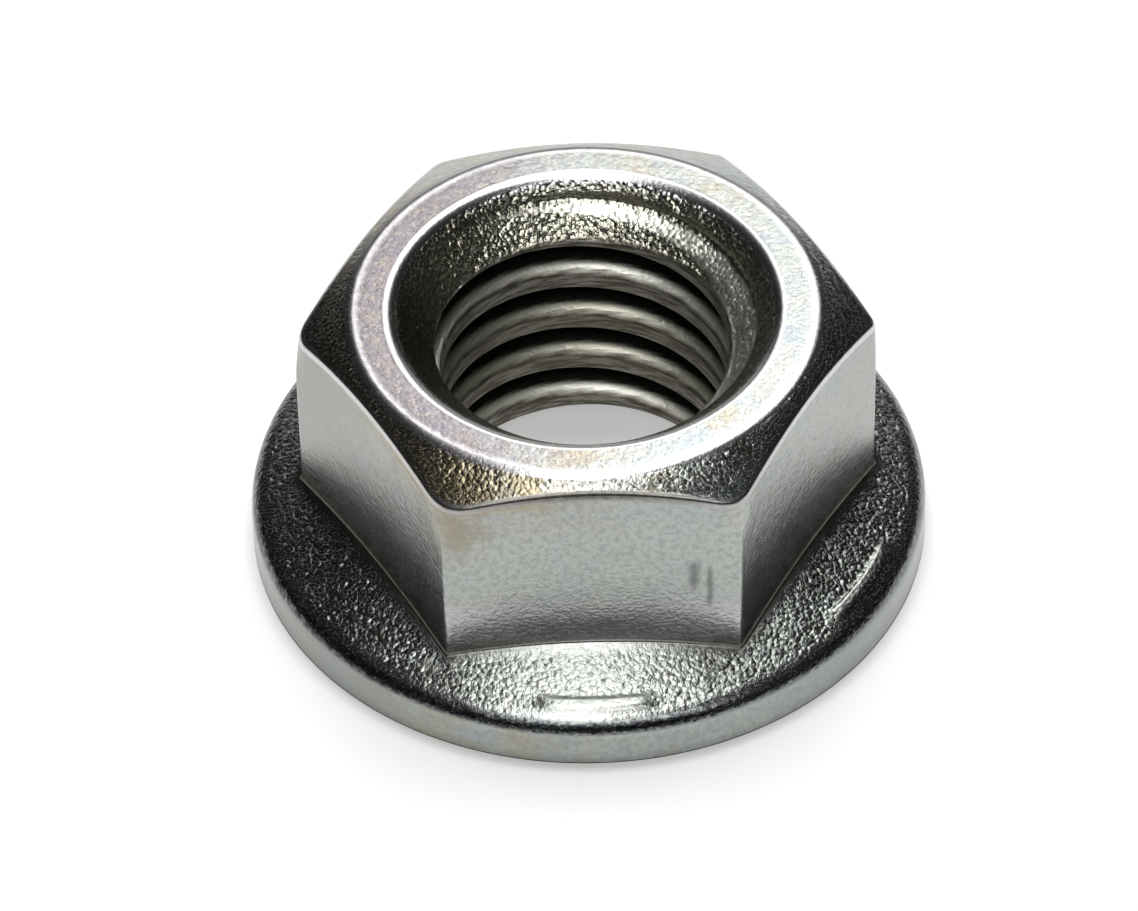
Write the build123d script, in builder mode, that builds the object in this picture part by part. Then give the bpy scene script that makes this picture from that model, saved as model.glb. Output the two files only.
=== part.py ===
"""Serrated hexagon flange nut, one forged piece with a 3/8-16 right-hand thread.

Millimetres, +Z up. The origin is on the thread axis in the plane of the tooth lands, the face
the nut stands on. One flat of the hexagon faces -Y.
"""
from build123d import *
from build123d.topology import SkipClean
from math import ceil, radians, tan
import os

# ---- hexagon ----
height = 8.3                # tooth lands to top ring
across_flats = 14.0
corner_round = 0.3          # radius on the six upright edges
ring_inset = 0.5            # from the flats in to the edge of the flat ring on top
top_chamfer_angle = 30.0    # fall of the cone that cuts the hexagon's corners

# ---- flange ----
flange_radius = 9.5
rim_height = 1.38           # to where the rim's side would meet the cone
flange_slope = 20.0         # rise of the cone towards the hexagon
rim_top_round = 0.6
rim_foot_bevel = 0.2
root_fillet = 0.12          # between the hexagon's flats and the cone

# ---- thread ----
major_radius = 4.7625       # nominal 3/8 inch bolt
pitch = 1.5875              # sixteen turns in 25.4 mm
depth_share = 0.48          # depth of the groove as a share of the pitch
root_share = 0.125          # width of the groove's floor as a share of the pitch
flank_angle = 30.0          # half of the sixty-degree thread form
groove_overcut = 0.3        # how far the cutting tool starts inside the bore
groove_phase = 1.49         # height of a groove's middle over the +Y side of the bore
wall_sectors = 8            # the bore is cut in equal sectors, one after another

# ---- countersinks ----
top_sink_margin = 0.6       # mouth of the upper countersink beyond the major radius
top_sink_angle = 45.0
lip_round = 0.25            # where the upper countersink opens into the ring
foot_sink_margin = 0.19
foot_sink_angle = 30.0

# ---- teeth under the flange ----
tooth_count = 30
tooth_depth = 0.32
tooth_land = 0.55           # plain ring between the lower countersink and the teeth
tooth_margin = 0.7          # plain ring between the teeth and the rim
gap_share = 0.62            # part of each tooth's share of the circle that is cut away
gap_end_share = 0.35        # depth of a gap's inner end as a share of tooth_depth

# ---- grade dashes ----
dash_inset = 0.7            # from the rim in to the middle of each raised bar
dash_width = 0.42
dash_height = 0.15          # over the cone at a bar's outer side
dash_inner_height = 0.05    # and at its inner side, so that its top lies flatter than the cone
dash_arc = 22.0
dash_angles = (-90.0, -30.0)  # middles, over two neighbouring flats

# ---- sizes that follow from those above ----
flat_radius = across_flats / 2
top_ring_radius = flat_radius - ring_inset
chamfer_fall = tan(radians(top_chamfer_angle))
cone_rise = tan(radians(flange_slope))
hub_height = rim_height + flange_radius * cone_rise
minor_radius = major_radius - pitch * depth_share
flank_run = tan(radians(flank_angle))
root_half = pitch * root_share / 2
mouth_radius = minor_radius - groove_overcut
mouth_half = root_half + (major_radius - mouth_radius) * flank_run
top_sink_radius = major_radius + top_sink_margin
top_sink_depth = (top_sink_radius - minor_radius) * tan(radians(top_sink_angle))
foot_sink_radius = major_radius + foot_sink_margin
foot_sink_depth = (foot_sink_radius - minor_radius) * tan(radians(foot_sink_angle))
tooth_inner_radius = foot_sink_radius + tooth_land
tooth_outer_radius = flange_radius - tooth_margin
tooth_share = 360.0 / tooth_count
dash_radius = flange_radius - dash_inset


def cone_height(radius):
    """Height of the flange's cone at a distance from the axis."""
    return rim_height + (flange_radius - radius) * cone_rise


# ---- one gap between two teeth: a ratchet wedge, wider and deeper towards the rim. Its upright
# side bites when the nut is turned anticlockwise, to loosen it ----
with BuildPart() as tooth_gap:
    for radius, depth in (
        (tooth_inner_radius, tooth_depth * gap_end_share),
        (tooth_outer_radius, tooth_depth),
    ):
        half = radius * tan(radians(tooth_share * gap_share / 2))
        with BuildSketch(Plane.YZ.offset(radius)):
            with BuildLine():
                Polyline((-half, 0), (half, 0), (-half, depth), close=True)
            make_face()
    loft(ruled=True)

# ---- one turn of the thread's groove: its section carried along a right-hand helix ----
quarter_rise = pitch / 4     # the +Y side lies a quarter turn after the start on +X
groove_start = groove_phase % pitch - quarter_rise - pitch
turn_count = ceil(height / pitch) + 2
with BuildPart() as groove_turn:
    with BuildLine() as helix:
        Helix(pitch=pitch, height=pitch, radius=major_radius)
    with BuildSketch(Plane.XZ):
        with BuildLine():
            Polyline(
                (mouth_radius, -mouth_half),
                (major_radius, -root_half),
                (major_radius, root_half),
                (mouth_radius, mouth_half),
                close=True,
            )
        make_face()
    sweep(path=helix.wires()[0], is_frenet=True)

# ---- the nut ----
with BuildPart() as flange_nut:
    # hexagon with rounded upright edges, its top cut by a cone
    with BuildSketch() as hexagon:
        RegularPolygon(radius=flat_radius, side_count=6, major_radius=False)
        fillet(hexagon.vertices(), radius=corner_round)
    extrude(amount=height)
    cone_reach = 2 * flat_radius
    with BuildSketch(Plane.XZ):
        with BuildLine():
            Polyline(
                (0, 0),
                (cone_reach, 0),
                (cone_reach, height - (cone_reach - top_ring_radius) * chamfer_fall),
                (top_ring_radius, height),
                (0, height),
                close=True,
            )
        make_face()
    revolve(axis=Axis.Z, mode=Mode.INTERSECT)

    # conical flange with a rounded rim, bevelled at its foot
    with BuildSketch(Plane.XZ) as flange:
        with BuildLine():
            Polyline(
                (0, 0),
                (flange_radius, 0),
                (flange_radius, rim_height),
                (0, hub_height),
                close=True,
            )
        make_face()
        chamfer(flange.vertices().group_by(Axis.X)[-1].sort_by(Axis.Y)[0], length=rim_foot_bevel)
        fillet(flange.vertices().group_by(Axis.X)[-1].sort_by(Axis.Y)[-1], radius=rim_top_round)
    revolve(axis=Axis.Z)

    # small fillet where the hexagon runs into the cone
    hub_top = cone_height(flat_radius)
    root = flange_nut.edges().filter_by_position(
        Axis.Z, rim_height + root_fillet, hub_top + root_fillet, inclusive=(False, False)
    )
    fillet(root, radius=root_fillet)

    # grade dashes: raised arcs on the cone over two neighbouring flats
    dash_inner = dash_radius - dash_width / 2
    dash_outer = dash_radius + dash_width / 2
    for angle in dash_angles:
        with BuildSketch(Plane.XZ.rotated((0, 0, angle - dash_arc / 2))) as dash:
            with BuildLine():
                Polyline(
                    (dash_inner, cone_height(dash_outer) - dash_height),
                    (dash_outer, cone_height(dash_outer) - dash_height),
                    (dash_outer, cone_height(dash_outer) + dash_height),
                    (dash_inner, cone_height(dash_inner) + dash_inner_height),
                    close=True,
                )
            make_face()
        revolve(axis=Axis.Z, revolution_arc=dash_arc)

    # ratchet teeth
    with PolarLocations(0, tooth_count):
        add(tooth_gap.part, mode=Mode.SUBTRACT)

    # the two countersinks, to the radius of the bore, the upper one with a rounded lip
    with BuildSketch(Plane.XZ) as top_sink:
        with BuildLine():
            Polyline(
                (0, height - top_sink_depth),
                (minor_radius, height - top_sink_depth),
                (top_sink_radius, height),
                (top_ring_radius, height),
                (top_ring_radius, height + top_sink_depth),
                (0, height + top_sink_depth),
                close=True,
            )
        make_face()
        fillet(top_sink.vertices().sort_by_distance((top_sink_radius, height))[0], radius=lip_round)
    revolve(axis=Axis.Z, mode=Mode.SUBTRACT)
    with BuildSketch(Plane.XZ):
        with BuildLine():
            Polyline(
                (0, 0),
                (foot_sink_radius, 0),
                (minor_radius, foot_sink_depth),
                (0, foot_sink_depth),
                close=True,
            )
        make_face()
    revolve(axis=Axis.Z, mode=Mode.SUBTRACT)

    # bore and thread: the wall keeps one seam to a sector, so each crest lies in short lengths
    sector = 360.0 / wall_sectors
    with SkipClean():
        for turn in range(wall_sectors):
            with BuildSketch(Plane.XZ.rotated((0, 0, turn * sector))):
                with BuildLine():
                    Polyline((0, 0), (minor_radius, 0), (minor_radius, height), (0, height), close=True)
                make_face()
            revolve(axis=Axis.Z, revolution_arc=sector, mode=Mode.SUBTRACT, clean=False)
        with Locations(*[(0, 0, groove_start + turn * pitch) for turn in range(turn_count)]):
            add(groove_turn.part, mode=Mode.SUBTRACT, clean=False)

flange_nut.part.label = "flange_nut"
os.makedirs("parts", exist_ok=True)
export_step(flange_nut.part, "parts/flange_nut.step")
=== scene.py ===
"""Serrated flange nut in zinc-plated forged steel, standing on a white table.

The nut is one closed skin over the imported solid: a grid of turn angle by place along the section,
worked out as whole arrays. Lengths in the sizes below are millimetres, and the mesh is in metres.
"""
import math

import bpy
import numpy as np
from mathutils import Matrix, Vector


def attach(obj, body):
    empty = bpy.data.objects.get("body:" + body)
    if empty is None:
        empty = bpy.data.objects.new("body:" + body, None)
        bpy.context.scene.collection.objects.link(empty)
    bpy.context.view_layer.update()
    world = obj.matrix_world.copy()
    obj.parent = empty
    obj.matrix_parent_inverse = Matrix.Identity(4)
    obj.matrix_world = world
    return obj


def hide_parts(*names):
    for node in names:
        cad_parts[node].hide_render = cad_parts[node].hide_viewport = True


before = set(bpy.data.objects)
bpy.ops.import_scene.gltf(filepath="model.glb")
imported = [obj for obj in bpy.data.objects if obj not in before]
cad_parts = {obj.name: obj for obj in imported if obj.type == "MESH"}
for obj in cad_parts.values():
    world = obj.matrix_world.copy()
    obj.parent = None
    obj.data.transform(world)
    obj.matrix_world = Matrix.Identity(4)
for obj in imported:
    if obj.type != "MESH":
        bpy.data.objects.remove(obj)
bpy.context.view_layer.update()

MM = 0.001
TURN = 2 * math.pi

# ---- main sizes of the nut, which the solid has too ----
HEIGHT = 8.3
FLAT_RADIUS = 7.0
RING_RADIUS = 6.5
CHAMFER_FALL = math.tan(math.radians(30.0))
FLANGE_RADIUS = 9.5
RIM_HEIGHT = 1.38
CONE_RISE = math.tan(math.radians(20.0))
PITCH = 1.5875
MAJOR_RADIUS = 4.7625
MINOR_RADIUS = 4.0            # the solid's is 0.0005 wider
ROOT_HALF = PITCH / 16
FLANK_RUN = math.tan(math.radians(30.0))
GROOVE_PHASE = 1.49
TOP_SINK_RADIUS = MAJOR_RADIUS + 0.6
FOOT_SINK_RADIUS = MAJOR_RADIUS + 0.19
FOOT_SINK_FALL = math.tan(math.radians(30.0))
TOOTH_COUNT = 30
TOOTH_DEPTH = 0.32
TOOTH_INNER = FOOT_SINK_RADIUS + 0.55
TOOTH_OUTER = FLANGE_RADIUS - 0.7
GAP_SHARE = 0.62              # part of each tooth's share of the circle that is cut away
GAP_HALF = math.radians(360.0 / TOOTH_COUNT * GAP_SHARE / 2)
GAP_END_SHARE = 0.35
DASH_RADIUS = FLANGE_RADIUS - 0.7
DASH_HALF_WIDTH = 0.21
DASH_HALF_ARC = math.radians(11.0)
DASH_ANGLES = (math.radians(-90.0), math.radians(-30.0))

# ---- finer forms of the forging, which are the skin's own ----
DASH_OUTER_HEIGHT = 0.085     # over the cone; the solid's dashes are higher
DASH_INNER_HEIGHT = 0.042
ENTRY_FLARE = 0.22            # how much wider the groove starts, in the top countersink
CORNER_ROUND = 0.16           # upright edges, below
CORNER_ROUND_TOP = 0.72       # upright edges where the chamfer meets them, on the average
BLUNTNESS = 0.94              # how far a corner's top differs from that average, as a share of it
BLUNT_SIDE = math.radians(240.0)   # the side where their tops are bluntest
CORNER_FADE = 1.3             # height over which the edges open out
RING_DOME = 0.018             # fall of the ring from its inner edge to its outer
DOME_FADE = 5.5               # depth below the ring at which that fall has died out
SKIN_WAVE = 0.012             # unevenness of the forged faces
LIP_DEPTH = 0.28              # depth at which the countersink's lip begins
LIP_ROUND = 0.19              # how far each rounding reaches to either side of its corner
RING_ROUND = 0.13
EDGE_ROUND = 0.12             # where the chamfer meets the flats
SHOULDER_ROUND = 0.45         # on the flats, where the edges have opened out
ROOT_ROUND = 0.08             # the hollow between the flats and the cone
RIM_ROUND = 0.47
SOLE_ROUND = 0.08
RIM_BEVEL = 0.06              # the solid's is 0.2

# ---- the set, in metres ----
TABLE_HALF = 1.2
BACKDROP_HALF = 0.55
BACKDROP_HEIGHT = 0.45
WHITE = (1.0, 1.0, 1.0, 1.0)
TABLE_PAINT = (0.75, 0.75, 0.75, 1.0)
TABLE_GLOW = 0.42             # the table's own light
ROOM_GLOW = 0.014

rng = np.random.default_rng(7)


def cone_height(radius):
    """Height of the flange's cone: the rim's height plus the rise over the distance in from the rim."""
    return RIM_HEIGHT + (FLANGE_RADIUS - radius) * CONE_RISE


def smooth_step(low, high, value):
    """0 below low, 1 above high and 3t^2 - 2t^3 between them."""
    t = np.clip((value - low) / (high - low), 0.0, 1.0)
    return t * t * (3.0 - 2.0 * t)


def soft_max(a, b, blend):
    """The larger of a and b, with a parabola of width blend where they cross."""
    h = np.clip(0.5 + 0.5 * (a - b) / blend, 0.0, 1.0)
    return b + (a - b) * h + blend * h * (1.0 - h)


def hexagon_radius(angle, corner_round):
    """Distance from the axis to a hexagon with rounded corners, by angle.

    Over a flat it is the flat's distance over the cosine of the angle off the flat's middle. Round a
    corner it is where the ray meets the rounding's circle: the centre's distance times the cosine of
    the angle off the corner, plus the root of the radius squared less the sine part squared.
    """
    sixth = math.pi / 3
    off_corner = (angle + sixth / 2) % sixth - sixth / 2
    off_flat = sixth / 2 - np.abs(off_corner)
    flat = FLAT_RADIUS / np.cos(off_flat)
    centre = (FLAT_RADIUS - corner_round) / math.cos(sixth / 2)
    reach = np.arctan2(corner_round * math.sin(sixth / 2), centre + corner_round * math.cos(sixth / 2))
    side = centre * np.sin(off_corner)
    inside = np.clip(corner_round**2 - side**2, 0.0, None)
    arc = centre * np.cos(off_corner) + np.sqrt(inside)
    return np.where(np.abs(off_corner) < reach, arc, flat)


def thread_radius(angle, z):
    """Radius of the bore's wall, by angle and height, with its right-hand thread.

    The distance up or down from the nearest middle of the groove, which climbs a pitch in a turn,
    runs from the floor at the major radius, down a flank of sixty degrees, to the crest at the
    minor radius. Near the top the floor and the flanks lie further out by the entry flare.
    """
    floor_blend, crest_blend = 0.1, 0.09
    middle = GROOVE_PHASE + PITCH * (angle - math.pi / 2) / TURN
    off = np.abs((z - middle + PITCH / 2) % PITCH - PITCH / 2)
    flank = MAJOR_RADIUS - (off - ROOT_HALF) / FLANK_RUN
    floor = MAJOR_RADIUS + ENTRY_FLARE * smooth_step(HEIGHT - 1.3, HEIGHT - 0.5, z)
    flank = flank + floor - MAJOR_RADIUS
    return soft_max(-soft_max(-floor, -flank, floor_blend), MINOR_RADIUS, crest_blend)


def bore_radius(angle, z):
    """Radius of the bore by angle and height: the widest of the thread and the two countersinks."""
    top = TOP_SINK_RADIUS - (HEIGHT - z)
    foot = FOOT_SINK_RADIUS - z / FOOT_SINK_FALL
    blend = 0.06
    return soft_max(soft_max(thread_radius(angle, z), top, blend), foot, blend)


def nearest(angles, others):
    """How far each angle is from the nearest of the others: the least of the turns between them."""
    return np.abs((angles[:, None] - others[None] + math.pi) % TURN - math.pi).min(axis=1)


def turn_angles():
    """Turn angles of the grid's columns.

    Even angles less a share of a sixth of the sine of six times the angle, which crowds them at the
    hexagon's corners. To these come a pair a hair apart at every tooth's upright wall, one angle at
    every gap's other side, and five down each end of the dashes. One that would lie too close to a
    wall's or a dash's angle is left out.
    """
    count, crowding = 228, 0.8
    hair, end_clearance = math.radians(0.03), math.radians(0.35)
    clearance = 0.35              # as a share of the distance between neighbours
    even = np.arange(count) * TURN / count
    corners = even - crowding * np.sin(6 * even) / 6
    apart = math.radians(360.0 / count) * (1.0 - crowding * np.cos(6 * even))
    gap = np.arange(TOOTH_COUNT) * TURN / TOOTH_COUNT
    walls = np.concatenate([gap - GAP_HALF - hair, gap - GAP_HALF + hair, gap + GAP_HALF])
    slope = DASH_HALF_ARC + np.radians([-3.6, -2.4, -1.2, 0.0, 1.0])
    ends = np.concatenate([middle + side * slope for middle in DASH_ANGLES for side in (-1, 1)])
    ends = ends[nearest(ends, walls) > end_clearance]
    corners = corners[nearest(corners, np.concatenate([walls, ends])) > clearance * apart]
    return np.sort(np.concatenate([corners, walls, ends]) % TURN)


def at(radius, z, count):
    """One point of the section at every turn angle, as radius and height."""
    pair = np.empty((count, 2))
    pair[:, 0], pair[:, 1] = radius, z
    return pair


def run(start, end, steps):
    """Points between two points of the section, at even steps and without the two ends."""
    t = (np.arange(1, steps) / steps)[None, :, None]
    return start[:, None] * (1 - t) + end[:, None] * t


def bend(before, corner, after, reach, steps):
    """A rounded corner: a parabola from reach before the corner to reach after it."""
    back = before - corner
    onward = after - corner
    a = corner + back * (reach / np.linalg.norm(back, axis=1, keepdims=True))
    b = corner + onward * (reach / np.linalg.norm(onward, axis=1, keepdims=True))
    t = (np.arange(steps + 1) / steps)[None, :, None]
    return a[:, None] * (1 - t) ** 2 + 2 * corner[:, None] * t * (1 - t) + b[:, None] * t**2


def tooth_gap_height(angle, radius):
    """Height of the roof of the gaps between the teeth, by angle and radius.

    Each gap falls evenly from its upright wall to nothing at its other side, and is deeper outwards.
    """
    share = TURN / TOOTH_COUNT
    off = (angle + share / 2) % share - share / 2
    outward = np.clip((radius - TOOTH_INNER) / (TOOTH_OUTER - TOOTH_INNER), 0.0, 1.0)
    depth = TOOTH_DEPTH * (GAP_END_SHARE + (1 - GAP_END_SHARE) * outward)
    return np.where(np.abs(off) < GAP_HALF, depth * (0.5 - off / (2 * GAP_HALF)), 0.0)


def dash_lift(angle, radius):
    """Height of the two raised dashes over the cone: bars with soft sides and ends.

    Their tops rise evenly from the inner side's height to the outer's, so they lie flatter than the cone.
    """
    outward = (radius - DASH_RADIUS) / DASH_HALF_WIDTH
    top = 0.5 * (DASH_INNER_HEIGHT + DASH_OUTER_HEIGHT)
    top = top + 0.5 * (DASH_OUTER_HEIGHT - DASH_INNER_HEIGHT) * np.clip(outward, -1.0, 0.6)
    across = smooth_step(-1.35, -0.60, outward) * (1.0 - smooth_step(0.10, 1.50, outward))
    along = np.zeros_like(angle)
    for middle in DASH_ANGLES:
        off = np.abs((angle - middle + math.pi) % TURN - math.pi)
        along = along + 1.0 - smooth_step(DASH_HALF_ARC - 0.055, DASH_HALF_ARC + 0.016, off)
    return top * across * along


def skin_wave(x, y, z):
    """Slow unevenness of a forged face, 0 to -1: seven sine waves of random direction, added up."""
    total = np.zeros_like(x)
    for _ in range(7):
        way = rng.normal(size=3)
        way *= rng.uniform(0.8, 2.4) / np.linalg.norm(way)
        total += np.sin(way[0] * x + way[1] * y + way[2] * z + rng.uniform(0, TURN))
    return total / 14.0 - 0.5


def nut_section(angle):
    """The nut's closed section at every turn angle, as radius and height, from the foot of the bore
    up the bore, over the ring, down the hexagon and the flange, and back along the toothed face.

    Straight runs lie between the corners, and each corner is rounded by a parabola. With the section
    come the shares of grain, wave (slow unevenness), polish and shade lines that each point of it takes;
    the shade lines are painted shade in the crease at the foot of the flats and along the chamfer's edge.
    """
    n = len(angle)
    join = HEIGHT - LIP_DEPTH
    z = np.concatenate([np.linspace(0, 0.5, 6), np.linspace(0.54, 7.85, 142), [join - 0.05]])
    z = np.broadcast_to(z, (n, len(z)))
    bore = np.stack([bore_radius(angle[:, None], z), z], axis=-1)
    bore[:, 0, 0] = FOOT_SINK_RADIUS

    top_round = CORNER_ROUND_TOP * (1.0 + BLUNTNESS * np.cos(angle - BLUNT_SIDE))
    wide = hexagon_radius(angle, top_round)
    full = hexagon_radius(angle, CORNER_ROUND)
    edge_z = HEIGHT - (wide - RING_RADIUS) * CHAMFER_FALL
    by_dash, past_dash = DASH_RADIUS - 0.29, DASH_RADIUS + 0.22
    sink = at(TOP_SINK_RADIUS - LIP_DEPTH, join, n)
    lip = at(TOP_SINK_RADIUS, HEIGHT, n)
    ring = at(RING_RADIUS, HEIGHT, n)
    edge = at(wide, edge_z, n)
    shoulder = at(full, edge_z - CORNER_FADE, n)
    root = at(full, cone_height(full), n)
    dash_in = at(by_dash, cone_height(by_dash), n)
    dash_out = at(past_dash, cone_height(past_dash), n)
    rim = at(FLANGE_RADIUS, RIM_HEIGHT, n)
    rim_foot = at(FLANGE_RADIUS, RIM_BEVEL, n)
    sole = at(FLANGE_RADIUS - RIM_BEVEL, 0.0, n)
    land = at(TOOTH_OUTER, 0.0, n)
    land_in = at(TOOTH_INNER, 0.0, n)
    foot = at(FOOT_SINK_RADIUS, 0.0, n)

    pieces = []          # (points, grain, wave, polish, shade_lines)

    def add(points, grain, wave=0.0, polish=0.0, shade_lines=0.0):
        """Put points on the end of the section with their shares, and hand back the last of them."""
        pieces.append((points, grain, wave, polish, shade_lines))
        return points[:, -1]

    last = add(bore, grain=0.15)
    lip_bend = bend(sink, lip, ring, LIP_ROUND, 6)
    add(run(last, lip_bend[:, 0], 3), grain=0.8)
    last = add(lip_bend, grain=0.05, polish=0.75)
    ring_bend = bend(lip, ring, edge, RING_ROUND, 5)
    add(run(last, ring_bend[:, 0], 16), grain=0.26, wave=1.0)
    last = add(ring_bend, grain=0.05, wave=0.3, polish=0.6)
    edge_bend = bend(ring, edge, shoulder, EDGE_ROUND, 5)
    add(run(last, edge_bend[:, 0], 12), grain=0.62, wave=0.6)
    last = add(edge_bend, grain=0.05, wave=0.3, polish=0.8, shade_lines=1.0)
    shoulder_bend = bend(edge, shoulder, root, SHOULDER_ROUND, 5)
    add(run(last, shoulder_bend[:, 0], 6), grain=0.06, wave=1.0)
    last = add(shoulder_bend, grain=0.06, wave=1.0)
    root_bend = bend(shoulder, root, dash_in, ROOT_ROUND, 4)
    add(run(last, root_bend[:, 0], 12), grain=0.10, wave=1.0)
    last = add(root_bend, grain=0.02, polish=0.3, shade_lines=1.0)
    last = add(run(last, dash_in, 12), grain=1.0, wave=0.7)
    last = add(run(last, dash_out, 16), grain=0.9, wave=0.3)
    rim_bend = bend(dash_out, rim, rim_foot, RIM_ROUND, 12)
    add(run(last, rim_bend[:, 0], 2), grain=0.4, wave=0.3)
    last = add(rim_bend, grain=0.38, polish=0.1)
    foot_bend = bend(rim, rim_foot, sole, SOLE_ROUND, 3)
    add(run(last, foot_bend[:, 0], 5), grain=0.06, wave=0.6)
    add(foot_bend, grain=0.05)
    last = add(bend(rim_foot, sole, land, SOLE_ROUND, 3), grain=0.05)
    add(run(last, land, 3), grain=0.3)
    add(land[:, None], grain=0.3)
    across = np.broadcast_to(np.linspace(TOOTH_OUTER - 0.01, TOOTH_INNER + 0.01, 9), (n, 9))
    add(np.stack([across, tooth_gap_height(angle[:, None], across)], axis=-1), grain=0.4)
    add(land_in[:, None], grain=0.3)
    add(run(land_in, foot, 4), grain=0.3)

    section = np.concatenate([piece[0] for piece in pieces], axis=1)
    shares = [
        np.concatenate([np.full(piece[0].shape[:2], piece[k]) for piece in pieces], axis=1)
        for k in (1, 2, 3, 4)
    ]
    return section, *shares


def outer_shares(turn, r, z, lift, grain, polish, shade_lines):
    """Grain, polish and shade lines (painted shade) of the outside, changed where they differ round the nut.
    """
    front, right = np.clip(-np.sin(turn), 0.0, 1.0), np.clip(np.cos(turn), 0.0, 1.0)
    to_front = front**6

    # the dashes are smoother than the cone
    on_dash = smooth_step(0.0, 0.03, lift)
    grain = grain * (1.0 - 0.80 * on_dash)
    polish = np.maximum(polish, 0.25 * on_dash)

    # the cone's grain dies out by the crease at the foot of the flats, and is finer at the front
    off_crease = smooth_step(0.12, 0.52, r - hexagon_radius(turn, CORNER_ROUND))
    on_cone = (z < cone_height(r) + 0.05) & (r > FLAT_RADIUS) & (z > RIM_HEIGHT)
    grain = np.where(on_cone, grain * off_crease * (1.0 - 0.45 * to_front), grain)
    polish = np.where(on_cone, polish * (1.0 - 0.35 * to_front), polish)

    # painted shade lies in the crease at the foot of the flats, less of it at the front, and in a dark line
    # on the chamfer's edge at the front
    shade_lines = np.where(z > HEIGHT / 2, shade_lines * to_front, shade_lines * (1.0 - 0.75 * to_front))

    # the chamfer's grain is coarsest by the ring and at the front, and coarser right than left
    edge_radius = hexagon_radius(turn, CORNER_ROUND_TOP)
    on_chamfer = (r > RING_RADIUS + 0.1) & (z > HEIGHT - 1.2) & (r < edge_radius - 0.05)
    outer_part = smooth_step(0.2, 0.8, (r - RING_RADIUS) / (edge_radius - RING_RADIUS))
    grain = np.where(on_chamfer, grain * (1.0 - 0.6 * outer_part), grain)
    grain = np.where(on_chamfer, grain * (0.55 + 0.9 * front**2 + 0.4 * right**2), grain)

    # the ring is rubbed bright along both its edges
    on_top = (z > HEIGHT - 0.02) & (r > TOP_SINK_RADIUS - 0.05)
    rubbed_out = smooth_step(0.42, 0.08, RING_RADIUS - r)
    rubbed_in = smooth_step(0.26, 0.04, r - TOP_SINK_RADIUS)
    rubbed_and_light = 0.68 * rubbed_out + 0.50 * rubbed_in
    polish = np.where(on_top, np.maximum(polish, rubbed_and_light), polish)
    grain = np.where(on_top, grain * (1.0 - 0.6 * rubbed_and_light), grain)
    return grain, polish, shade_lines


def bore_shares(turn, r, z, grain):
    """Grain with that of the bore, and the shares of crest, bore, thread and groove.

    The countersink is where the bore is wider than its thread, and its grain is coarse. The top of the
    thread, where it runs out, takes some of that grain. Crests and grooves go by the radius.
    """
    in_bore = r < MAJOR_RADIUS + 0.05
    under_lip = r < TOP_SINK_RADIUS - 0.12
    in_sink = smooth_step(0.02, 0.09, r - thread_radius(turn, z)) * (z > HEIGHT / 2) * under_lip
    run_out = smooth_step(HEIGHT - 1.6, HEIGHT - 1.2, z) * under_lip
    grain = np.maximum(np.maximum(grain, in_sink * 1.7), 0.8 * run_out)

    crest = smooth_step(0.16, 0.05, r - MINOR_RADIUS) * in_bore
    groove = smooth_step(0.20, 0.38, r - MINOR_RADIUS) * in_bore * smooth_step(7.2, 6.4, z)
    bore = smooth_step(0.1, -0.1, r - TOP_SINK_RADIUS + 0.2) * (z > 0.001) * (z < HEIGHT - 0.1)
    thread = (1.0 - in_sink) * (1.0 - 0.3 * run_out) * in_bore * (z > 0.35) * (z < HEIGHT - 0.35)
    return grain, {"crest": crest, "bore": bore, "thread": thread, "groove": groove}


def nut_skin():
    """The nut as one closed grid: each section point turned about the axis by its angle.

    The dashes are lifted off the cone, the forged faces are dented by the skin wave (the ring downwards
    and the rest inwards), and the ring falls outwards by the square of the way across it. The faces join
    neighbours along the section and round the turn, and both ways close on themselves.
    """
    angle = turn_angles()
    section, grain, wave, polish, shade_lines = nut_section(angle)
    r, z = section[..., 0], section[..., 1]
    turn = np.broadcast_to(angle[:, None], r.shape)
    upper = (r > FLAT_RADIUS - 0.5) & (z < cone_height(r) + 0.3) & (z > 0.6)
    lift = np.where(upper, dash_lift(turn, r), 0.0)
    z = z + lift
    grain, polish, shade_lines = outer_shares(turn, r, z, lift, grain, polish, shade_lines)
    grain, inside = bore_shares(turn, r, z, grain)
    shares = {"grain": grain, "polish": polish, "shade_lines": shade_lines, **inside}

    dent = skin_wave(r * np.cos(turn), r * np.sin(turn), z) * SKIN_WAVE * wave
    on_ring = (z > HEIGHT - 0.02) & (r > TOP_SINK_RADIUS)
    outwards = np.clip((r - TOP_SINK_RADIUS) / (RING_RADIUS - TOP_SINK_RADIUS), 0.0, 1.0)
    fall = RING_DOME * outwards**2 * smooth_step(DOME_FADE, 0.0, HEIGHT - z)
    r = np.where(on_ring, r, r + dent)
    z = np.where(on_ring, z + dent, z) - fall
    co = np.stack([r * np.cos(turn), r * np.sin(turn), z], axis=-1) * MM

    turns, places = r.shape
    i, j = np.meshgrid(np.arange(turns), np.arange(places), indexing="ij")
    k, m = (i + 1) % turns, (j + 1) % places
    quads = np.stack([i * places + j, i * places + m, k * places + m, k * places + j], axis=-1)
    return co.reshape(-1, 3), quads.reshape(-1, 4), {key: np.ravel(value) for key, value in shares.items()}


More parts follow.
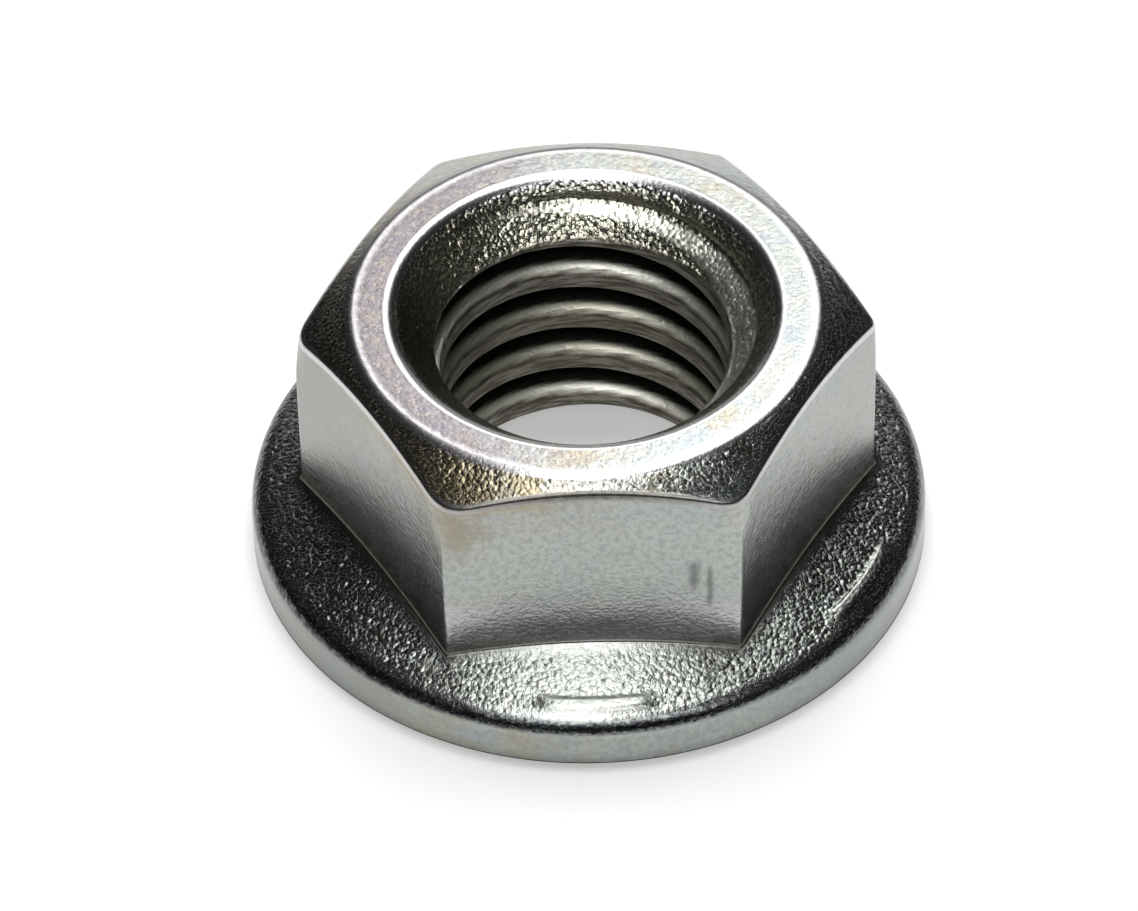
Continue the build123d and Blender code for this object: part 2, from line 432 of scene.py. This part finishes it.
def mesh_piece(name, points, quads, values):
    """A mesh object from arrays of points and four-sided faces, with named values on its points."""
    mesh = bpy.data.meshes.new(name)
    mesh.vertices.add(len(points))
    mesh.vertices.foreach_set("co", points.astype(np.float32).ravel())
    mesh.loops.add(quads.size)
    mesh.loops.foreach_set("vertex_index", quads.astype(np.int32).ravel())
    mesh.polygons.add(len(quads))
    mesh.polygons.foreach_set("loop_start", np.arange(0, quads.size, 4, dtype=np.int32))
    mesh.polygons.foreach_set("use_smooth", np.ones(len(quads), bool))
    mesh.update(calc_edges=True)
    for key, value in values.items():
        layer = mesh.attributes.new(key, "FLOAT", "POINT")
        layer.data.foreach_set("value", value.astype(np.float32))
    mesh.set_sharp_from_angle(angle=math.radians(55))
    piece = bpy.data.objects.new(name, mesh)
    bpy.context.scene.collection.objects.link(piece)
    return piece


class Wire:
    """A shader socket that can be reckoned with: + - and * on it make Math nodes."""

    def __init__(self, tree, socket):
        self.tree, self.socket = tree, socket

    def reckon(self, operation, *others):
        """A Math node with this socket first and the others after it."""
        values = {i: value for i, value in enumerate((self,) + others)}
        return make_node(self.tree, "ShaderNodeMath", {"operation": operation}, values)

    def __add__(self, other):
        return self.reckon("ADD", other)

    def __radd__(self, other):
        return self.reckon("ADD", other)

    def __sub__(self, other):
        return self.reckon("SUBTRACT", other)

    def __rsub__(self, other):
        return make_node(self.tree, "ShaderNodeMath", {"operation": "SUBTRACT"}, {0: other, 1: self})

    def __mul__(self, other):
        return self.reckon("MULTIPLY", other)

    def __rmul__(self, other):
        return self.reckon("MULTIPLY", other)

    def between(self, low, high):
        """0 at low, 1 at high, smooth between."""
        values = {"Value": self, "From Min": low, "From Max": high}
        return make_node(self.tree, "ShaderNodeMapRange", {"interpolation_type": "SMOOTHSTEP"}, values)

    def band(self, start, full, last, end):
        """0 up to start, 1 from full to last and 0 again from end, smooth between."""
        return self.between(start, full) * (1.0 - self.between(last, end))


def make_node(tree, kind, settings=None, values=None, out=0):
    """A shader node with its settings, its inputs set to values or linked to wires, and one output."""
    node = tree.nodes.new(kind)
    for key, value in (settings or {}).items():
        setattr(node, key, value)
    for key, value in (values or {}).items():
        if isinstance(value, Wire):
            tree.links.new(value.socket, node.inputs[key])
        else:
            node.inputs[key].default_value = value
    return None if out is None else Wire(tree, node.outputs[out])


def vector_maths(tree, operation, values, out=0):
    """A Vector Math node of this operation on these values."""
    return make_node(tree, "ShaderNodeVectorMath", {"operation": operation}, values, out)


def mix_colour(tree, share, first, second):
    """Two colours mixed by a share."""
    return make_node(tree, "ShaderNodeMix", {"data_type": "RGBA"}, {0: share, 6: first, 7: second}, 2)


def fresh_material(name):
    """An empty node material and its tree."""
    material = bpy.data.materials.new(name)
    material.use_nodes = True
    material.node_tree.nodes.clear()
    return material, material.node_tree


def zinc_plate():
    """Bright zinc over forged steel: small tilted facets that sparkle where the die has left its grain,
    a fine mottle on the flats, dull torn crests in the bore, edges worn bright, painted shade in the creases,
    on the sides and in the bore, painted light at the back of the bore and low on the front flat, and straw
    and blue tints. Places in it are millimetres on the nut: -y is its front and -x its left."""
    material, tree = fresh_material("bright_zinc_plate")
    place = make_node(tree, "ShaderNodeTexCoord", out="Object")
    mm = vector_maths(tree, "SCALE", {0: place, "Scale": 1000.0})
    x, y, z = (make_node(tree, "ShaderNodeSeparateXYZ", None, {"Vector": mm}, axis) for axis in "XYZ")
    leftwards, forwards = 0.0 - x, 0.0 - y

    def share(name):
        """One of the shares that the skin carries on its points."""
        return make_node(tree, "ShaderNodeAttribute", {"attribute_name": name}, out="Fac")

    def noise(scale, detail=2.0, rough=0.5, twist=0.0, where=mm):
        """Cloudy noise, scale patches to the millimetre."""
        values = {"Vector": where, "Scale": scale, "Detail": detail, "Roughness": rough, "Distortion": twist}
        return make_node(tree, "ShaderNodeTexNoise", None, values)

    def grains(scale, tilt, dome):
        """Height of grains that each lean their own way by about tilt and are domed by dome."""
        outs = ("Color", "Position", "Distance")
        cell = {"Vector": mm, "Scale": scale}
        colour, centre, apart = (make_node(tree, "ShaderNodeTexVoronoi", None, cell, out) for out in outs)
        lean = vector_maths(tree, "SUBTRACT", {0: colour, 1: (0.5, 0.5, 0.5)})
        away = vector_maths(tree, "SUBTRACT", {0: mm, 1: centre})
        slope = vector_maths(tree, "DOT_PRODUCT", {0: lean, 1: away}, "Value")
        return slope * tilt - apart * apart * dome

    grain, polish, shade_lines = share("grain"), share("polish"), share("shade_lines")
    bore, thread, groove, crest = share("bore"), share("thread"), share("groove"), share("crest")
    fine = noise(22.0, 2.0, 0.6)
    middle = noise(8.0, 3.0, 0.6)
    broad = noise(2.5)
    cloud = noise(0.9, 3.0, 0.55)
    patch = noise(0.55, 2.0, 0.5, 0.4)
    speck = noise(3.2, 4.0, 0.65)
    mottle = noise(5.0, 4.0, 0.75)
    fleck = noise(6.5, 3.0, 0.7, 0.3)
    drawn = vector_maths(tree, "MULTIPLY", {0: mm, 1: (1.2, 1.2, 11.0)})
    torn = noise(1.0, 4.0, 0.6, 0.0, drawn)

    # heights in millimetres: the grain, the finish of plain faces and the torn crests
    plain = 1.0 - polish * 0.8
    relief = (grains(8.0, 0.16, 0.016) + middle * 0.012) * grain
    relief = relief + (middle * 0.010 + fine * 0.0022) * plain
    relief = relief + broad * 0.006 * plain + torn * crest * 0.05
    values = {"Strength": 1.0, "Distance": MM, "Height": relief}
    bump = make_node(tree, "ShaderNodeBump", None, values, "Normal")

    zinc = (0.43, 0.45, 0.42, 1)
    straw = (0.42, 0.34, 0.22, 1)
    blue = (0.33, 0.39, 0.44, 1)
    dull = (0.27, 0.28, 0.26, 1)
    ring_shade = (0.25, 0.23, 0.25, 1)
    olive = (0.93, 0.92, 0.83, 1)
    bore_shade = (0.30, 0.30, 0.25, 1)
    brown = (0.27, 0.21, 0.12, 1)
    tan = (0.46, 0.40, 0.31, 1)
    plum = (0.24, 0.20, 0.27, 1)
    bore_light = (0.66, 0.64, 0.50, 1)
    gold = (0.36, 0.28, 0.15, 1)
    slate = (0.30, 0.33, 0.32, 1)
    navy_shade = (0.05, 0.055, 0.07, 1)
    scraped = (0.15, 0.16, 0.15, 1)
    burnt_and_shade = (0.12, 0.11, 0.085, 1)
    shade_black = (0.012, 0.012, 0.010, 1)
    rubbed_and_light = (0.66, 0.65, 0.66, 1)

    # places: the ring on top, the rim below, the cone, the flat and the chamfer at the front, both sides and
    # parts of the bore; shade is painted on the front of the cone, the sides and the bore's left and deep
    # turns, and light on the bore's back
    on_ring = z.between(8.1, 8.25)
    off_ring = 1.0 - on_ring
    on_rim = 1.0 - z.between(1.1, 1.3)
    front_flat = forwards.band(6.7, 6.9, 7.02, 7.10) * z.between(2.26, 2.40)
    shaded_front_cone = forwards.between(6.6, 7.6) * z.band(1.48, 1.60, 2.24, 2.32)
    front_chamfer = forwards.between(2.5, 5.5) * z.band(7.2, 7.6, 8.15, 8.25)
    shaded_sides = x.reckon("ABSOLUTE").between(3.5, 7.5) * (1.0 - z.between(7.5, 8.2))
    lit_back_bore = y.between(-1.0, 3.0)
    shaded_left_bore = leftwards.between(2.0, 4.8) * (1.0 - y.between(-0.5, 3.0))
    shaded_deep_turns = z.band(1.8, 2.4, 4.9, 5.6)

    # straw and blue tints lie on the rim and by the ring, the straw most on the left
    tinted = z.between(6.2, 7.8) + (1.0 - z.between(1.1, 1.5))
    blue_share = (cloud * 0.5 + speck * 0.5).between(0.46, 0.60) * (0.15 + tinted * 0.35)
    straw_share = (patch + speck * 0.55 - x * 0.032).between(0.72, 0.98) * tinted
    gilt = (speck - x * 0.25).between(0.1, 1.2) * front_chamfer

    # painted shade: the ring darker and duskier on the left, with fine tan and plum spots, more of them there
    shaded_left_ring = (leftwards * 0.16 + speck * 0.5).between(0.10, 0.95) * on_ring
    tan_spots = mottle.between(0.45, 0.66) * (0.15 + shaded_left_ring * 0.30) * on_ring
    plum_spots = (1.0 - fleck.between(0.36, 0.47)) * (0.2 + shaded_left_ring * 0.4) * on_ring
    dull_spots = (1.0 - mottle.between(0.36, 0.58)) * off_ring

    # a brown stain by the bluntest corner, and two scraped streaks on the front flat
    stain_middle = (-3.6, -6.9, 6.7)
    from_middle = vector_maths(tree, "DISTANCE", {0: mm, 1: stain_middle}, "Value")
    stain = 1.6 - from_middle + speck * 2.2 + cloud * 0.8 - (x - stain_middle[0]) * 0.25
    ragged = speck * 0.14 - 0.05
    streak_a = (ragged - (x - 2.77).reckon("ABSOLUTE")).between(-0.24, 0.03) * z.band(4.0, 4.6, 5.1, 5.5)
    streak_b = (ragged - (x - 3.20).reckon("ABSOLUTE")).between(-0.13, 0.03) * z.band(3.3, 3.9, 4.9, 5.3)

    # a painted dark reflection in a broken line round the top of the rim, less of it on the right
    rim_shade_line = (z + speck * 0.06).between(1.10, 1.26) * (1.0 - (z + speck * 0.10).between(1.45, 1.56))
    rim_shade = rim_shade_line * (0.30 + 0.65 * mottle.between(0.36, 0.58)) * (1.0 - x.between(1.0, 7.0) * 0.4)

    # each coat goes over the ones before it, by its share
    coats = (
        (blue_share, blue),
        (straw_share * 0.60, straw),
        # painted shade on the left of the ring
        (shaded_left_ring * 0.90, ring_shade),
        (tan_spots, tan),
        (plum_spots, plum),
        (stain.between(1.5, 3.1) * 0.65, brown),
        (dull_spots * 0.6, dull),
        # painted shade: both sides below the chamfer darker, the left most
        (shaded_sides * (0.55 + 0.3 * leftwards.between(0.0, 3.5)), dull),
        # painted light: the lower part of the front flat made paler
        (front_flat * (1.0 - z.between(3.0, 4.3)) * 0.5, rubbed_and_light),
        ((streak_a + streak_b) * front_flat * 0.85, scraped),
        (gilt * 0.50, gold),
        (on_rim * 0.30, slate),
        # painted shade: dark reflection line round the top of the rim
        (rim_shade, navy_shade),
        # painted shade: the bore darker, least at the back; painted light: the back of the bore paler and
        # yellower
        (bore * (1.0 - lit_back_bore * 0.7), bore_shade),
        (bore * lit_back_bore * 0.6, bore_light),
        # painted shade: the left front of the countersink made dark brown
        (bore * (1.0 - thread) * shaded_left_bore, burnt_and_shade),
        # painted shade: the thread's middle turns darker
        (thread * (1.0 - shaded_deep_turns * 0.72), olive),
        (crest * (0.75 + 0.25 * torn.between(0.40, 0.60)), burnt_and_shade),
        # painted shade: the grooves of the thread near black
        (groove, shade_black),
        ((polish * 1.3 + speck * 0.8 - 0.55).between(0.0, 1.0) * 0.85, rubbed_and_light),
        # painted shade: the front of the cone darker
        (shaded_front_cone * 0.55, dull),
        # painted shade: the crease at the foot of the flats and the chamfer's front edge darkened
        (shade_lines * (0.45 + 0.8 * fleck), burnt_and_shade),
    )
    colour = zinc
    for amount, coat in coats:
        colour = mix_colour(tree, amount, colour, coat)

    shine = 0.15 + 0.06 * cloud + 0.07 * fine + 0.17 * thread + 0.14 * crest + 0.04 * on_ring + 0.12 * shade_lines
    values = {"Base Color": colour, "Metallic": 1.0, "Roughness": shine, "Normal": bump}
    shader = make_node(tree, "ShaderNodeBsdfPrincipled", None, values, "BSDF")
    make_node(tree, "ShaderNodeOutputMaterial", None, {"Surface": shader}, None)
    return material


def white_table():
    """White table top: lit white that keeps the nut's shadow, with a little light of its own for the
    camera, for reflections and for what is seen through glass."""
    material, tree = fresh_material("white_table")
    kinds = ("Is Camera Ray", "Is Glossy Ray", "Is Transmission Ray")
    camera_ray, glossy_ray, through_ray = (make_node(tree, "ShaderNodeLightPath", out=kind) for kind in kinds)
    seen = (camera_ray + glossy_ray + through_ray).reckon("MINIMUM", 1.0)
    paint = make_node(tree, "ShaderNodeBsdfDiffuse", None, {"Color": TABLE_PAINT}, "BSDF")
    glow = make_node(tree, "ShaderNodeEmission", None, {"Color": WHITE, "Strength": TABLE_GLOW}, "Emission")
    lit = make_node(tree, "ShaderNodeAddShader", None, {0: paint, 1: glow})
    both = make_node(tree, "ShaderNodeMixShader", None, {0: seen, 1: paint, 2: lit})
    make_node(tree, "ShaderNodeOutputMaterial", None, {"Surface": both}, None)
    return material


def flat_sheet(name, corners, material):
    """A flat four-cornered sheet of the set, corners in metres."""
    mesh = bpy.data.meshes.new(name)
    mesh.from_pydata(corners, [], [(0, 1, 2, 3)])
    mesh.materials.append(material)
    sheet = bpy.data.objects.new(name, mesh)
    bpy.context.scene.collection.objects.link(sheet)
    return sheet


def soft_lamp(name, place, width, length, power):
    """A rectangular softbox at place, in metres, facing the nut's foot."""
    data = bpy.data.lights.new(name, "AREA")
    data.shape, data.size, data.size_y = "RECTANGLE", width, length
    data.energy = power
    lamp = bpy.data.objects.new(name, data)
    facing = (-Vector(place)).to_track_quat("-Z", "Y").to_matrix().to_4x4()
    lamp.matrix_world = Matrix.Translation(place) @ facing
    bpy.context.scene.collection.objects.link(lamp)
    return lamp


# ---- the nut ----
nut = mesh_piece("flange_nut_skin", *nut_skin())
nut.data.materials.append(zinc_plate())
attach(nut, "root")
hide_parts("flange_nut")

# ---- the set ----
near, far, high = -TABLE_HALF, TABLE_HALF, BACKDROP_HEIGHT
left, right = -BACKDROP_HALF, BACKDROP_HALF
table_corners = [(near, near, 0), (far, near, 0), (far, far, 0), (near, far, 0)]
backdrop_corners = [(left, far, 0), (right, far, 0), (right, far, high), (left, far, high)]
flat_sheet("table", table_corners, white_table())
flat_sheet("backdrop", backdrop_corners, white_table())

world = bpy.context.scene.world or bpy.data.worlds.new("room")
bpy.context.scene.world = world
world.use_nodes = True
sky = world.node_tree
sky.nodes.clear()
room_light = make_node(sky, "ShaderNodeBackground", None, {"Color": WHITE, "Strength": ROOM_GLOW})
make_node(sky, "ShaderNodeOutputWorld", None, {"Surface": room_light}, None)

# the overhead and front lamps light the metal only, and the fill lights the table only
overhead = soft_lamp("strip_overhead", (0.008, 0.03, 0.30), width=0.105, length=0.40, power=0.60)
soft_lamp("strip_back", (0.02, 0.31, 0.28), width=0.22, length=0.14, power=0.22)
front_lamp = soft_lamp("strip_front", (0.015, -0.205, 0.285), width=0.30, length=0.08, power=0.27)
fill = soft_lamp("table_fill", (0.0, 0.11, 0.36), width=0.30, length=0.18, power=1.34)
overhead.visible_diffuse = front_lamp.visible_diffuse = False
fill.visible_glossy = False

# ---- camera ----
IMAGE_WIDTH, FOCAL_PIXELS = 1138.0, 8000.0
SENSOR_WIDTH = 36.0
CAMERA_DISTANCE = 226.4 * MM
ELEVATION, ROLL, AZIMUTH = math.radians(45.57), math.radians(-1.14), math.radians(-0.52)
SHIFT_X, SHIFT_Y = -20.0 / IMAGE_WIDTH, 62.4 / IMAGE_WIDTH

eye = bpy.data.cameras.new("camera")
eye.sensor_width, eye.lens = SENSOR_WIDTH, FOCAL_PIXELS * SENSOR_WIDTH / IMAGE_WIDTH
eye.shift_x, eye.shift_y = SHIFT_X, SHIFT_Y
eye.clip_start, eye.clip_end = 0.01, 10.0
camera = bpy.data.objects.new("camera", eye)
level = math.cos(ELEVATION)
back = Vector((math.sin(AZIMUTH) * level, -math.cos(AZIMUTH) * level, math.sin(ELEVATION)))
facing = (-back).to_track_quat("-Z", "Y").to_matrix().to_4x4()
camera.matrix_world = Matrix.Translation(back * CAMERA_DISTANCE) @ facing @ Matrix.Rotation(ROLL, 4, "Z")
bpy.context.scene.collection.objects.link(camera)
bpy.context.scene.camera = camera
bpy.context.scene.view_settings.view_transform = "Standard"
